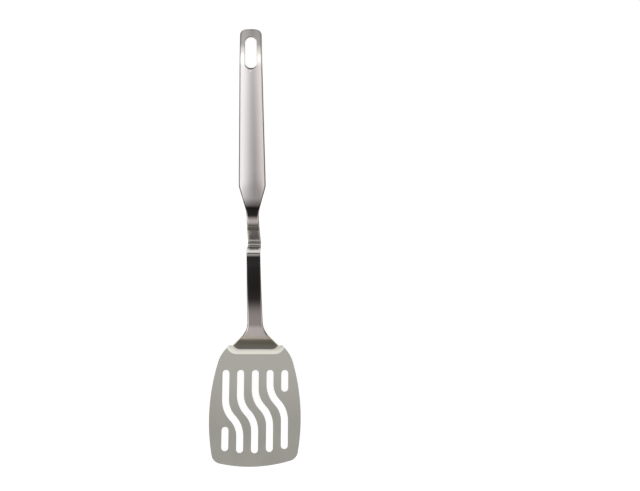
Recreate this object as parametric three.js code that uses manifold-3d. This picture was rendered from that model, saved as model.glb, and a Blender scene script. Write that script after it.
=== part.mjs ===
// A slotted steel turner: a forged handle bar and a pressed blade, lapped and spot-welded at the foot.
// Millimetres. The turner lies on a table on its rest hook and its handle end, food side up:
// +Z is up, +Y points to the handle end and +X runs across the blade.
import * as THREE from 'three';
import { mergeVertices } from 'three/addons/utils/BufferGeometryUtils.js';
import Module from 'manifold-3d';

const wasm = await Module();
wasm.setup();

// Handle bar: lengths run along its middle line from the handle end. Angles are in degrees from the grip's
// line, and positive towards the food side.
const BAR_THICKNESS = 2.8;
const EDGE_CHAMFER = 0.7;
const CHAMFER_SHARE = 0.3; // most of a thin or narrow section that a chamfer takes
const GRIP_LENGTH = 114; // handle end to where the grip starts to narrow
const GRIP_END_WIDTH = 15.8;
const GRIP_WIDTH = 20.3; // where the grip is widest
const GRIP_CROWN = 1.2; // height of the bulged face above its edges
const CROWN_RUNOUT = 24;
const CROWN_OVERLAP = 6; // from where the bar bends down to the hook to where the crown has run out
const END_CORNER_RADIUS = 4;
const END_EDGE_RADIUS = 30; // the handle end is slightly round
const TIP_LENGTH = 16; // straight stretch at the handle end
const TIP_ANGLE = 9.2; // bent back from the grip's line
const TIP_BEND_RADIUS = 66;
const NARROWING_ANGLE = 16; // each flank, in plan
const NARROWING_ROUND = 12;
const NECK_FILLET = 35; // between the narrowing and the neck, in plan
const NECK_TOP_WIDTH = 9.1;
const NECK_LOW_WIDTH = 12.6;
const DROP_OFFSET = 15.6; // from where the grip narrows to where the bar bends down to the hook
const DROP_ANGLE = 46.4;
const DROP_RADIUS = 29.5;
const RAMP_LENGTH = 14.1;
const HOOK_INNER_RADIUS = 1.8;
const STEP_ANGLE = 94;
const STEP_LENGTH = 7.2;
const SHOULDER_INNER_RADIUS = 3;
const NECK_LEAN = 4.7; // below the shoulder, towards the back
const NECK_TOP_LENGTH = 6.9; // from the shoulder to the bow
const NECK_BOW_ANGLE = 13;
const NECK_BOW_RADIUS = 176;
const NECK_STRAIGHT = 23.8; // from the bow to the sweep
const SWEEP_ANGLE = 18.8; // the wide bend above the fold
const SWEEP_RADIUS = 31;
const FOOT_THICKNESS = 1;
const THINNING_LENGTH = 12; // over which the bar is flattened to the foot
const FOOT_FLAT = 8.5; // flattened stretch above the fold
const FLARE_LENGTH = 24.1; // start of the flare to the fold
const FLARE_RADIUS = 22;
const FLARE_ANGLE = 43;
const FLARE_WIDTH = 35.3; // where the foot's corners start
const FOOT_CORNER_RADIUS = 3;
const FOOT_SIDE = 9.2; // straight flank of the foot, between its corners
const FOOT_CORNER_ANGLE = 70; // where the foot's corners run into its end edge
const CAP_WIDTH = 3; // flat middle of the two end edges

// Hanging slot
const HANG_SLOT_WIDTH = 8.7;
const HANG_SLOT_LENGTH = 23.2;
const HANG_SLOT_MARGIN = 5.7; // to the handle end
const HANG_SLOT_CUT = 12; // depth of the cut, past both faces of the bent bar

// Blade: lengths run along the sheet from the end of its fold
const BLADE_ANGLE = 24.1; // from the grip's line, towards the food side
const BLADE_THICKNESS = 0.8;
const BLADE_LENGTH = 85.9;
const BLADE_WIDTH = 71.6;
const BLADE_WIDEST = 48.9; // how far down the blade it is widest
const SIDE_RADIUS = 158;
const SHOULDER_START = 5; // how far down the blade the shoulder arc takes over from the side arc
const SHOULDER_RADIUS = 27;
const BLADE_CORNER_RADIUS = 8;
const FRONT_EDGE_RADIUS = 110;
const FRONT_EDGE_SHIFT = -4; // the front edge is a little lower on the left
const FOLD_RADIUS = 13.4; // on the food side
const LIP_HEIGHT = 5.4; // along the sheet, at its middle
const LIP_HORN_HEIGHT = 8.4; // the same at its ends, beside the foot
const LIP_HORN_WIDTH = 2.9; // flat top of its ends
const LIP_CUP_RADIUS = 7; // of the top edge, up to its ends
const LIP_ROOT = 1; // how far the lip's strip reaches into the flat sheet

// Drain slots: columns run from left to right, and a long slot moves over by one column on its way down
const SLOT_COLUMNS = 5;
const SLOT_PITCH = 11.55;
const SLOT_WIDTH = 5.4;
const SLOT_TOP = 10.9;
const SLOT_MARGIN = 10.3; // to the front edge
const SLOT_BEND_ANGLE = 44;
const SLOT_BEND_OFFSET = 0.95; // how far their bends lie above the middle of the slots' length, on average
const SLOT_BEND_STAGGER = 4.1; // each bend lies this much higher than the one to its left
const SHORT_TOP_SLOT = 17; // length of the short slot at the top right
const SHORT_LOW_SLOT = 18.6; // length of the short slot at the bottom left

// Welds
const LAP_GAP = 0.3; // between the foot and the back of the blade
const WELD_DIAMETER = 4.5;
const WELD_SIDE_MARGIN = 6.65; // from the outer welds to where the foot's corners start
const WELD_MARGIN = 4.1; // to the foot's end
const WELD_CLEARANCE = 0.02;

// Fineness of the facets
const ARC_STEP = 9; // degrees
const FACE_SPANS = 6; // facets across the bulged face
const LIP_SPANS = 3; // across half of the top edge's low middle
const LIP_ROWS = 8;
const SHAPE_SEGMENTS = 5;
const WELD_SIDES = 20;
const SAME_STATION = 1e-3; // stations closer than this are one
const SAME_POINT = 1e-4;

const barSteel = new THREE.MeshStandardMaterial({ color: 0xc4c1bc, roughness: 0.22, metalness: 1 });
const bladeSteel = new THREE.MeshStandardMaterial({ color: 0xa5a49c, roughness: 0.4, metalness: 1 });
const weldSteel = new THREE.MeshStandardMaterial({ color: 0x8d8983, roughness: 0.5, metalness: 1 });

const { clamp, degToRad, lerp, radToDeg } = THREE.MathUtils;
const sin = (degrees) => Math.sin(degToRad(degrees));
const cos = (degrees) => Math.cos(degToRad(degrees));
const tan = (degrees) => Math.tan(degToRad(degrees));
const steps = (turn) => Math.max(1, Math.ceil(Math.abs(turn) / ARC_STEP));

// The bar's middle line, a chain of straight runs and bends in the YZ plane, starting at the handle end.
class Route {
  constructor(heading) {
    this.runs = [];
    this.end = { start: 0, y: 0, z: 0, heading };
  }

  line(length) {
    return this.add(length, 0);
  }

  bend(radius, heading) {
    const turn = heading - this.end.heading;
    return this.add(radius * Math.abs(degToRad(turn)), turn);
  }

  add(length, turn) {
    const run = { ...this.end, length, turn };
    this.runs.push(run);
    const after = this.pointOn(run, length);
    this.end = { start: run.start + length, ...after };
    return this;
  }

  pointOn(run, distance) {
    if (run.turn === 0) {
      const y = run.y - distance * cos(run.heading);
      const z = run.z + distance * sin(run.heading);
      return { y, z, heading: run.heading };
    }
    const radius = run.length / degToRad(run.turn);
    const heading = run.heading + (run.turn * distance) / run.length;
    const y = run.y + radius * (sin(run.heading) - sin(heading));
    const z = run.z + radius * (cos(run.heading) - cos(heading));
    return { y, z, heading };
  }

  at(distance) {
    const run = this.runs.findLast((each) => each.start <= distance) ?? this.runs[0];
    return this.pointOn(run, distance - run.start);
  }

  stations() {
    return this.runs.flatMap(({ start, length, turn }) => {
      const count = steps(turn);
      return Array.from({ length: count + 1 }, (_, k) => start + (length * k) / count);
    });
  }
}

// One flank of a plan outline as [along, across] points, made of lines and arcs that run into each other.
class Flank {
  constructor(along, across, heading) {
    this.points = [[along, across]];
    this.heading = heading;
  }

  get last() {
    return this.points.at(-1);
  }

  line(length) {
    return this.lineToAlong(this.last[0] + length * cos(this.heading));
  }

  lineToAlong(along) {
    const [from, across] = this.last;
    this.points.push([along, across + (along - from) * tan(this.heading)]);
    return this;
  }

  lineToAcross(across) {
    const [along, from] = this.last;
    this.points.push([along + (across - from) / tan(this.heading), across]);
    return this;
  }

  arcTo(radius, heading) {
    const [along, across] = this.last;
    const from = this.heading;
    const side = Math.sign(heading - from);
    const count = steps(heading - from);
    for (let k = 1; k <= count; k += 1) {
      const now = lerp(from, heading, k / count);
      const forward = side * radius * (sin(now) - sin(from));
      const outward = side * radius * (cos(from) - cos(now));
      this.points.push([along + forward, across + outward]);
    }
    this.heading = heading;
    return this;
  }

  across(along) {
    const next = this.points.findIndex((point) => point[0] >= along);
    if (next <= 0) return this.points.at(next)[1];
    const [a, b] = [this.points[next - 1], this.points[next]];
    return lerp(a[1], b[1], (along - a[0]) / (b[0] - a[0]));
  }
}

// A closed geometry from rings of points, each ring a convex section, with both ends closed.
function loft(rings) {
  const size = rings[0].length;
  const index = [];
  for (let r = 0; r + 1 < rings.length; r += 1) {
    for (let k = 0; k < size; k += 1) {
      const next = (k + 1) % size;
      const [a, b] = [r * size + k, r * size + next];
      index.push(a, a + size, b, b, a + size, b + size);
    }
  }
  const lastRing = (rings.length - 1) * size;
  for (let k = 1; k + 1 < size; k += 1) {
    index.push(0, k, k + 1);
    index.push(lastRing, lastRing + k + 1, lastRing + k);
  }
  const geometry = new THREE.BufferGeometry();
  geometry.setAttribute('position', new THREE.Float32BufferAttribute(rings.flat(2), 3));
  geometry.setIndex(index);
  return geometry;
}

function toSolid(geometry) {
  const bare = geometry.clone();
  bare.deleteAttribute('normal');
  bare.deleteAttribute('uv');
  const merged = mergeVertices(bare, SAME_POINT);
  const vertProperties = merged.getAttribute('position').array;
  const triVerts = new Uint32Array(merged.getIndex().array);
  return new wasm.Manifold(new wasm.Mesh({ numProp: 3, vertProperties, triVerts }));
}

function toGeometry(solid) {
  const { vertProperties, triVerts } = solid.getMesh();
  const geometry = new THREE.BufferGeometry();
  geometry.setAttribute('position', new THREE.Float32BufferAttribute(vertProperties, 3));
  geometry.setIndex(Array.from(triVerts));
  geometry.computeVertexNormals();
  return geometry;
}

// Middle line of the handle bar. The fold at the foot is concentric with the blade's own fold.
const neckEndAngle = -NECK_LEAN - NECK_BOW_ANGLE;
const sweepEndAngle = neckEndAngle + SWEEP_ANGLE;
const footFoldRadius = FOLD_RADIUS + BLADE_THICKNESS + LAP_GAP + FOOT_THICKNESS / 2;
const dropStart = GRIP_LENGTH + DROP_OFFSET;
const tipArc = TIP_BEND_RADIUS * degToRad(TIP_ANGLE);
const route = new Route(TIP_ANGLE)
  .line(TIP_LENGTH)
  .bend(TIP_BEND_RADIUS, 0)
  .line(dropStart - TIP_LENGTH - tipArc)
  .bend(DROP_RADIUS, -DROP_ANGLE)
  .line(RAMP_LENGTH)
  .bend(HOOK_INNER_RADIUS + BAR_THICKNESS / 2, STEP_ANGLE)
  .line(STEP_LENGTH)
  .bend(SHOULDER_INNER_RADIUS + BAR_THICKNESS / 2, -NECK_LEAN)
  .line(NECK_TOP_LENGTH)
  .bend(NECK_BOW_RADIUS, neckEndAngle)
  .line(NECK_STRAIGHT)
  .bend(SWEEP_RADIUS, sweepEndAngle);
const foldStart = route.end.start;
route.bend(footFoldRadius, BLADE_ANGLE);
const foldEnd = route.end;

// Plan outline of the bar, from the middle of the handle end to the middle of the foot's end
function barFlank() {
  const corner = END_CORNER_RADIUS;
  const neckHalf = NECK_TOP_WIDTH / 2;
  const lowHalf = NECK_LOW_WIDTH / 2;
  const capHalf = CAP_WIDTH / 2;
  const gripFlare = radToDeg(Math.atan((GRIP_WIDTH - GRIP_END_WIDTH) / 2 / GRIP_LENGTH));
  const cornerStart = Math.asin((GRIP_END_WIDTH / 2 - corner) / (END_EDGE_RADIUS - corner));
  const capStart = Math.asin(capHalf / END_EDGE_RADIUS);
  const flank = new Flank(0, capHalf, 90 - radToDeg(capStart))
    .arcTo(END_EDGE_RADIUS, 90 - radToDeg(cornerStart))
    .arcTo(corner, gripFlare)
    .lineToAlong(GRIP_LENGTH)
    .arcTo(NARROWING_ROUND, -NARROWING_ANGLE);
  const flareStart = foldStart - FLARE_LENGTH;
  const neckFlare = radToDeg(Math.atan((lowHalf - neckHalf) / (flareStart - flank.last[0])));
  flank
    .lineToAcross(neckHalf + NECK_FILLET * (cos(neckFlare) - cos(NARROWING_ANGLE)))
    .arcTo(NECK_FILLET, neckFlare)
    .lineToAlong(flareStart)
    .arcTo(FLARE_RADIUS, FLARE_ANGLE)
    .lineToAcross(FLARE_WIDTH / 2)
    .arcTo(FOOT_CORNER_RADIUS, 0)
    .line(FOOT_SIDE)
    .arcTo(FOOT_CORNER_RADIUS, -FOOT_CORNER_ANGLE);
  const endRadius = (flank.last[1] - capHalf) / cos(FOOT_CORNER_ANGLE);
  return flank.arcTo(endRadius, -90);
}

const flank = barFlank();
const footEnd = flank.last[0];
route.line(footEnd - foldEnd.start);

function handleBar() {
  const thinningEnd = foldStart - FOOT_FLAT;
  const crownEnd = dropStart + CROWN_OVERLAP;
  const marks = [crownEnd - CROWN_RUNOUT, crownEnd, thinningEnd - THINNING_LENGTH, thinningEnd];
  const inside = (distance) => distance >= 0 && distance <= footEnd;
  const flankStations = flank.points.map((point) => point[0]);
  const stations = [...route.stations(), ...flankStations, ...marks]
    .filter(inside)
    .sort((a, b) => a - b)
    .filter((distance, k, all) => k === 0 || distance - all[k - 1] > SAME_STATION);

  const rings = stations.map((distance) => {
    const { y, z, heading } = route.at(distance);
    const half = flank.across(distance);
    const thinning = clamp((thinningEnd - distance) / THINNING_LENGTH, 0, 1);
    const thickness = lerp(FOOT_THICKNESS, BAR_THICKNESS, thinning);
    const chamfer = Math.min(EDGE_CHAMFER, CHAMFER_SHARE * thickness, CHAMFER_SHARE * half);
    const gripHalf = lerp(GRIP_END_WIDTH, GRIP_WIDTH, Math.min(1, distance / GRIP_LENGTH)) / 2;
    const bulging = clamp((crownEnd - distance) / CROWN_RUNOUT, 0, 1);
    const bulge = (x) => GRIP_CROWN * bulging * (1 - (x / gripHalf) ** 2);
    const face = half - chamfer;
    const [top, low] = [thickness / 2, -thickness / 2];
    const section = [];
    for (let k = 0; k <= FACE_SPANS; k += 1) {
      const x = lerp(-face, face, k / FACE_SPANS);
      section.push([x, top + bulge(x)]);
    }
    section.push([half, top - chamfer], [half, low + chamfer], [face, low]);
    section.push([-face, low], [-half, low + chamfer], [-half, top - chamfer]);
    return section.map(([x, height]) => [x, y + height * sin(heading), z + height * cos(heading)]);
  });
  return toGeometry(toSolid(loft(rings)).subtract(hangSlotCutter()));
}

function stadium(width, length) {
  const radius = width / 2;
  const straight = length / 2 - radius;
  const shape = new THREE.Shape();
  shape.absarc(0, straight, radius, 0, Math.PI, false);
  shape.absarc(0, -straight, radius, Math.PI, 2 * Math.PI, false);
  return shape.closePath();
}

function hangSlotCutter() {
  const middle = route.at(HANG_SLOT_MARGIN + HANG_SLOT_LENGTH / 2);
  const shape = stadium(HANG_SLOT_WIDTH, HANG_SLOT_LENGTH);
  const cut = { depth: HANG_SLOT_CUT, bevelEnabled: false, curveSegments: SHAPE_SEGMENTS };
  const cutter = new THREE.ExtrudeGeometry(shape, cut);
  cutter.translate(0, 0, -HANG_SLOT_CUT / 2);
  cutter.rotateX(-degToRad(middle.heading));
  cutter.translate(0, middle.y, middle.z);
  return toSolid(cutter);
}

// Blade outline: on each side a shoulder arc runs into the side's arc, and a corner arc joins that to the
// front edge. In the blade's own frame the sheet's middle lies at z = 0, and -y points down the blade from
// the end of the fold.
const sideCentre = { x: BLADE_WIDTH / 2 - SIDE_RADIUS, y: -BLADE_WIDEST };
const sideTurn = Math.asin((BLADE_WIDEST - SHOULDER_START) / SIDE_RADIUS);
const shoulderCentre = {
  x: sideCentre.x + (SIDE_RADIUS - SHOULDER_RADIUS) * Math.cos(sideTurn),
  y: sideCentre.y + (SIDE_RADIUS - SHOULDER_RADIUS) * Math.sin(sideTurn),
};
const frontCentreY = FRONT_EDGE_RADIUS - BLADE_LENGTH;
const shoulderHalf = (y) => shoulderCentre.x + Math.sqrt(SHOULDER_RADIUS ** 2 - (y - shoulderCentre.y) ** 2);
const frontEdge = (x) => frontCentreY - Math.sqrt(FRONT_EDGE_RADIUS ** 2 - (x - FRONT_EDGE_SHIFT) ** 2);

// Centre of the corner arc on one side, inside both the side arc and the front edge's arc
function cornerCentre(side) {
  const [ax, ay] = [side * sideCentre.x, sideCentre.y];
  const [bx, by] = [FRONT_EDGE_SHIFT, frontCentreY];
  const fromSide = SIDE_RADIUS - BLADE_CORNER_RADIUS;
  const fromFront = FRONT_EDGE_RADIUS - BLADE_CORNER_RADIUS;
  const [dx, dy] = [bx - ax, by - ay];
  const apart = Math.hypot(dx, dy);
  const along = (fromSide ** 2 - fromFront ** 2 + apart ** 2) / (2 * apart);
  const off = -side * Math.sqrt(fromSide ** 2 - along ** 2);
  return { x: ax + (dx * along - dy * off) / apart, y: ay + (dy * along + dx * off) / apart };
}

function bladeShape() {
  const angle = (from, to) => Math.atan2(to.y - from.y, to.x - from.x);
  const front = { x: FRONT_EDGE_SHIFT, y: frontCentreY };
  const [left, right] = [cornerCentre(-1), cornerCentre(1)];
  const top = angle(shoulderCentre, { x: shoulderHalf(0), y: 0 });
  const rightLow = angle(sideCentre, right);
  const leftLow = angle(sideCentre, { x: -left.x, y: left.y });
  const shape = new THREE.Shape();
  shape.absarc(-shoulderCentre.x, shoulderCentre.y, SHOULDER_RADIUS, Math.PI - top, Math.PI - sideTurn);
  shape.absarc(-sideCentre.x, sideCentre.y, SIDE_RADIUS, Math.PI - sideTurn, Math.PI - leftLow);
  shape.absarc(left.x, left.y, BLADE_CORNER_RADIUS, Math.PI - leftLow, angle(front, left) + 2 * Math.PI);
  shape.absarc(front.x, front.y, FRONT_EDGE_RADIUS, angle(front, left), angle(front, right));
  shape.absarc(right.x, right.y, BLADE_CORNER_RADIUS, angle(front, right), rightLow);
  shape.absarc(sideCentre.x, sideCentre.y, SIDE_RADIUS, rightLow, sideTurn);
  shape.absarc(shoulderCentre.x, shoulderCentre.y, SHOULDER_RADIUS, sideTurn, top);
  return shape.closePath();
}

const columnX = (column) => (column - (SLOT_COLUMNS - 1) / 2) * SLOT_PITCH;

function straightSlot(x, top, low) {
  const radius = SLOT_WIDTH / 2;
  const path = new THREE.Path();
  path.absarc(x, top - radius, radius, 0, Math.PI, false);
  path.absarc(x, low + radius, radius, Math.PI, 2 * Math.PI, false);
  return path.closePath();
}

// A long slot from one column to the next: two opposite bends, whose radius brings it over by one pitch
function wavySlot(column) {
  const half = SLOT_WIDTH / 2;
  const bend = degToRad(SLOT_BEND_ANGLE);
  const radius = SLOT_PITCH / (2 * (1 - Math.cos(bend)));
  const [x, nextX] = [columnX(column), columnX(column + 1)];
  const stagger = (column - (SLOT_COLUMNS - 2) / 2) * SLOT_BEND_STAGGER;
  const middle = (SLOT_MARGIN - SLOT_TOP - BLADE_LENGTH) / 2 + SLOT_BEND_OFFSET + stagger;
  const upper = { x: x + radius, y: middle + radius * Math.sin(bend) };
  const lower = { x: nextX - radius, y: middle - radius * Math.sin(bend) };
  const [top, low] = [-SLOT_TOP, frontEdge(nextX) + SLOT_MARGIN];
  const path = new THREE.Path();
  path.absarc(x, top - half, half, 0, Math.PI, false);
  path.absarc(upper.x, upper.y, radius + half, Math.PI, Math.PI + bend, false);
  path.absarc(lower.x, lower.y, radius - half, bend, 0, true);
  path.absarc(nextX, low + half, half, Math.PI, 2 * Math.PI, false);
  path.absarc(lower.x, lower.y, radius + half, 0, bend, false);
  path.absarc(upper.x, upper.y, radius - half, Math.PI + bend, Math.PI, true);
  return path.closePath();
}

function drainSlots() {
  const longSlots = Array.from({ length: SLOT_COLUMNS - 1 }, (_, column) => wavySlot(column));
  const [firstX, lastX] = [columnX(0), columnX(SLOT_COLUMNS - 1)];
  const low = frontEdge(firstX) + SLOT_MARGIN;
  const shortTop = straightSlot(lastX, -SLOT_TOP, -SLOT_TOP - SHORT_TOP_SLOT);
  const shortLow = straightSlot(firstX, low + SHORT_LOW_SLOT, low);
  return [...longSlots, shortTop, shortLow];
}

// The turned-up lip at the root: a strip that curls round the fold and cups the foot's corners
const foldAngle = BLADE_ANGLE - sweepEndAngle;
const lipRadius = FOLD_RADIUS + BLADE_THICKNESS / 2;

function lipPoint(across, up, offset) {
  const foldLength = lipRadius * degToRad(foldAngle);
  const bent = clamp(up, 0, foldLength);
  const turn = bent / lipRadius;
  const beyond = up - bent;
  const y = (lipRadius - offset) * Math.sin(turn) + beyond * Math.cos(turn);
  const z = lipRadius - (lipRadius - offset) * Math.cos(turn) + beyond * Math.sin(turn);
  return [across * shoulderHalf(Math.max(0, up)), y, z];
}

// Right half of the lip's top edge as [across, up] points: a low middle, an arc, and the horn beside the foot
function lipEdge() {
  const rise = LIP_HORN_HEIGHT - LIP_HEIGHT;
  const turn = radToDeg(Math.acos(1 - rise / LIP_CUP_RADIUS));
  const hornHalf = shoulderHalf(LIP_HORN_HEIGHT);
  const middle = hornHalf - LIP_HORN_WIDTH - LIP_CUP_RADIUS * sin(turn);
  const edge = Array.from({ length: LIP_SPANS }, (_, k) => [(middle * (k + 1)) / LIP_SPANS, LIP_HEIGHT]);
  for (let k = 1; k <= steps(turn); k += 1) {
    const now = (turn * k) / steps(turn);
    edge.push([middle + LIP_CUP_RADIUS * sin(now), LIP_HEIGHT + LIP_CUP_RADIUS * (1 - cos(now))]);
  }
  return [...edge, [hornHalf, LIP_HORN_HEIGHT]];
}

function lip() {
  const right = lipEdge();
  const left = right.map(([x, top]) => [-x, top]).reverse();
  const rings = [...left, [0, LIP_HEIGHT], ...right].map(([x, top]) => {
    const across = x / shoulderHalf(top);
    const rows = Array.from({ length: LIP_ROWS + 1 }, (_, row) => (top * row) / LIP_ROWS);
    const heights = [-LIP_ROOT, ...rows];
    const back = heights.map((up) => lipPoint(across, up, -BLADE_THICKNESS / 2));
    const face = heights.map((up) => lipPoint(across, up, BLADE_THICKNESS / 2));
    return [...face, ...back.reverse()];
  });
  return stripOfRings(rings);
}

// A closed geometry from rings that are thin bent strips: face points first, then back points in reverse
function stripOfRings(rings) {
  const geometry = loft(rings);
  const size = rings[0].length;
  const walls = (rings.length - 1) * size * 6;
  const index = Array.from(geometry.getIndex().array).slice(0, walls);
  const lastRing = (rings.length - 1) * size;
  for (let row = 0; row + 1 < size / 2; row += 1) {
    const [a, b] = [row, row + 1];
    const [c, d] = [size - 1 - row, size - 2 - row];
    index.push(a, b, c, b, d, c);
    index.push(lastRing + a, lastRing + c, lastRing + b, lastRing + b, lastRing + c, lastRing + d);
  }
  geometry.setIndex(index);
  return geometry;
}

function blade() {
  const shape = bladeShape();
  shape.holes.push(...drainSlots());
  const sheet = { depth: BLADE_THICKNESS, bevelEnabled: false, curveSegments: SHAPE_SEGMENTS };
  const plate = new THREE.ExtrudeGeometry(shape, sheet);
  plate.translate(0, 0, -BLADE_THICKNESS / 2);
  return toGeometry(toSolid(plate).add(toSolid(lip())));
}

function spotWeld() {
  const radius = WELD_DIAMETER / 2;
  const nugget = new THREE.CylinderGeometry(radius, radius, LAP_GAP - 2 * WELD_CLEARANCE, WELD_SIDES);
  return nugget.rotateX(Math.PI / 2);
}

function named(name, geometry, material) {
  const mesh = new THREE.Mesh(geometry, material);
  mesh.name = name;
  return mesh;
}

// Tilt that brings the handle end and the hook down onto one table: the longest edge under the bar's profile
function restingTilt(geometry) {
  const position = geometry.getAttribute('position');
  const points = Array.from({ length: position.count }, (_, k) => [position.getY(k), position.getZ(k)]);
  points.sort((a, b) => a[0] - b[0] || a[1] - b[1]);
  const hull = [];
  const turnsUp = ([ay, az], [by, bz], [cy, cz]) => (by - ay) * (cz - az) - (bz - az) * (cy - ay) > 0;
  for (const point of points) {
    while (hull.length > 1 && !turnsUp(hull.at(-2), hull.at(-1), point)) hull.pop();
    hull.push(point);
  }
  const edges = hull.slice(1).map((end, k) => [end[0] - hull[k][0], end[1] - hull[k][1]]);
  const [dy, dz] = edges.reduce((best, edge) => (Math.hypot(...edge) > Math.hypot(...best) ? edge : best));
  return Math.atan2(dz, dy);
}

const bar = named('handle_bar', handleBar(), barSteel);

// The blade lies on the food side of the foot, in front of its middle by half of both sheets and the gap
const lap = FOOT_THICKNESS / 2 + LAP_GAP + BLADE_THICKNESS / 2;
const head = new THREE.Group();
head.position.set(0, foldEnd.y + lap * sin(BLADE_ANGLE), foldEnd.z + lap * cos(BLADE_ANGLE));
head.rotation.x = -degToRad(BLADE_ANGLE);
head.add(named('blade', blade(), bladeSteel));
const weldY = foldEnd.start + WELD_MARGIN - footEnd;
const weldPitch = FLARE_WIDTH / 2 - WELD_SIDE_MARGIN;
['left', 'middle', 'right'].forEach((place, k) => {
  const weld = named(`spot_weld_${place}`, spotWeld(), weldSteel);
  weld.position.set((k - 1) * weldPitch, weldY, -(BLADE_THICKNESS + LAP_GAP) / 2);
  head.add(weld);
});

// Laid on the table, with the origin under the middle of its box
const turner = new THREE.Group();
turner.add(bar, head);
turner.rotation.x = -restingTilt(bar.geometry);
const spatula = new THREE.Group();
spatula.name = 'spatula';
spatula.add(turner);
const box = new THREE.Box3().setFromObject(spatula, true);
turner.position.set(-(box.min.x + box.max.x) / 2, -(box.min.y + box.max.y) / 2, -box.min.z);
spatula.updateMatrixWorld(true);

export default spatula;
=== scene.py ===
# A slotted steel turner that lies on its rest hook and its handle end, food side up.
# Sizes are in millimetres and degrees, and every finished mesh is in metres.
import math

import bmesh
import bpy
from mathutils import Matrix, Vector


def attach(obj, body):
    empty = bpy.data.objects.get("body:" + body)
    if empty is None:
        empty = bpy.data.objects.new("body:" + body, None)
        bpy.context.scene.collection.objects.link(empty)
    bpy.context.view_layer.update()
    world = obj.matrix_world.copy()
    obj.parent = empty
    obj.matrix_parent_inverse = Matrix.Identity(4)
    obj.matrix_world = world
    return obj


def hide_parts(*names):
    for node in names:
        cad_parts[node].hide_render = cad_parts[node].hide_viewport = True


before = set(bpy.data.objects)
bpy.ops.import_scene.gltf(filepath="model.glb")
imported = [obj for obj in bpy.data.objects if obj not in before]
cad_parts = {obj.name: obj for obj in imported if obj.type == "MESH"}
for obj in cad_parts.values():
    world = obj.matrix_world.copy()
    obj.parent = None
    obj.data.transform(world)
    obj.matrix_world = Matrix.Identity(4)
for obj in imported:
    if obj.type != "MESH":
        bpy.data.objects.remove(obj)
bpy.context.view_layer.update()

MM = 0.001
UV_MM = 0.01  # a run of 100 mm is one unit of the UV maps

# Handle bar: lengths run along its middle line from the handle end
BAR_THICKNESS = 2.8
BAR_EDGE_RADIUS = 1.0
EDGE_SHARE = 0.42  # most of a thin section that its edge's round takes
GRIP_LENGTH = 114
GRIP_END_WIDTH = 15.8
GRIP_WIDTH = 20.3
GRIP_CROWN = 1.2
CROWN_RUNOUT = 24
CROWN_OVERLAP = 6
END_CORNER_RADIUS = 4
END_EDGE_RADIUS = 30
TIP_LENGTH = 16
TIP_ANGLE = 9.2
TIP_BEND_RADIUS = 66
NARROWING_ANGLE = 16
NARROWING_ROUND = 12
NECK_FILLET = 35
NECK_TOP_WIDTH = 9.1
NECK_LOW_WIDTH = 12.6
DROP_OFFSET = 15.6
DROP_ANGLE = 46.4
DROP_RADIUS = 29.5
RAMP_LENGTH = 14.1
HOOK_INNER_RADIUS = 1.8
STEP_ANGLE = 94
STEP_LENGTH = 7.2
SHOULDER_INNER_RADIUS = 3
NECK_LEAN = 4.7
NECK_TOP_LENGTH = 6.9
NECK_BOW_ANGLE = 13
NECK_BOW_RADIUS = 176
NECK_STRAIGHT = 23.8
SWEEP_ANGLE = 18.8
SWEEP_RADIUS = 31
FOOT_THICKNESS = 1
THINNING_LENGTH = 12
FOOT_FLAT = 8.5
FLARE_LENGTH = 24.1
FLARE_RADIUS = 22
FLARE_ANGLE = 43
FLARE_WIDTH = 35.3
FOOT_CORNER_RADIUS = 3
FOOT_SIDE = 9.2
FOOT_CORNER_ANGLE = 70

# Hanging slot
HANG_SLOT_WIDTH = 8.7
HANG_SLOT_LENGTH = 23.2
HANG_SLOT_MARGIN = 5.7
HANG_SLOT_RIM = 0.3
HANG_SLOT_DRAFT = 0.8  # how far its low end leans in towards the back

# Blade: lengths run along the sheet from the end of its fold
BLADE_ANGLE = 24.1
BLADE_THICKNESS = 0.8
BLADE_EDGE_RADIUS = 0.24
BLADE_LENGTH = 85.88
BLADE_WIDTH = 71.55
BLADE_WIDEST = 48.9
SIDE_RADIUS = 158
SHOULDER_START = 5
SHOULDER_RADIUS = 27
BLADE_CORNER_RADIUS = 8
FRONT_EDGE_RADIUS = 110
FRONT_EDGE_SHIFT = -4
FOLD_RADIUS = 13.4
FOLD_LINE_HALF = 15  # the fold's line is straight this far to each side, and then curves up
FOLD_LINE_RADIUS = 8
LIP_HEIGHT = 5.4
LIP_HORN_HEIGHT = 8.4
LIP_HORN_WIDTH = 2.9
LIP_CUP_RADIUS = 7
LIP_CORNER_RADIUS = 0.9

# Drain slots
SLOT_COLUMNS = 5
SLOT_SIZES = {
    "Pitch": 11.55,
    "Width": 5.4,
    "Top": 10.9,
    "Low margin": 10.3,
    "Bend angle": math.radians(44),
    "Bend middle": 42.3,
    "Bend stagger": 4.1,
    "Short top length": 17,
    "Short low length": 18.6,
    "Front radius": FRONT_EDGE_RADIUS,
    "Front shift": FRONT_EDGE_SHIFT,
    "Blade length": BLADE_LENGTH,
}
SLOT_CAP_STEPS = 14
SLOT_SIDE_STEPS = 44

# Welds
LAP_GAP = 0.3
WELD_MARGIN = 4.1
WELD_MARK_SIZES = {
    "Pitch": 11,
    "Ring radius": 2.1,
    "Ring thickness": 0.42,
    "Dome share": 0.3,
    "Height share": 0.34,
}
WELD_MARK_COUNT = 3

# How far the turner tilts as it rests on the table, and where the middle of its handle end then lies
REST_TILT = 5.967
REST_PLACE = (0.004, 164.1847, 1.3600)

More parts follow.
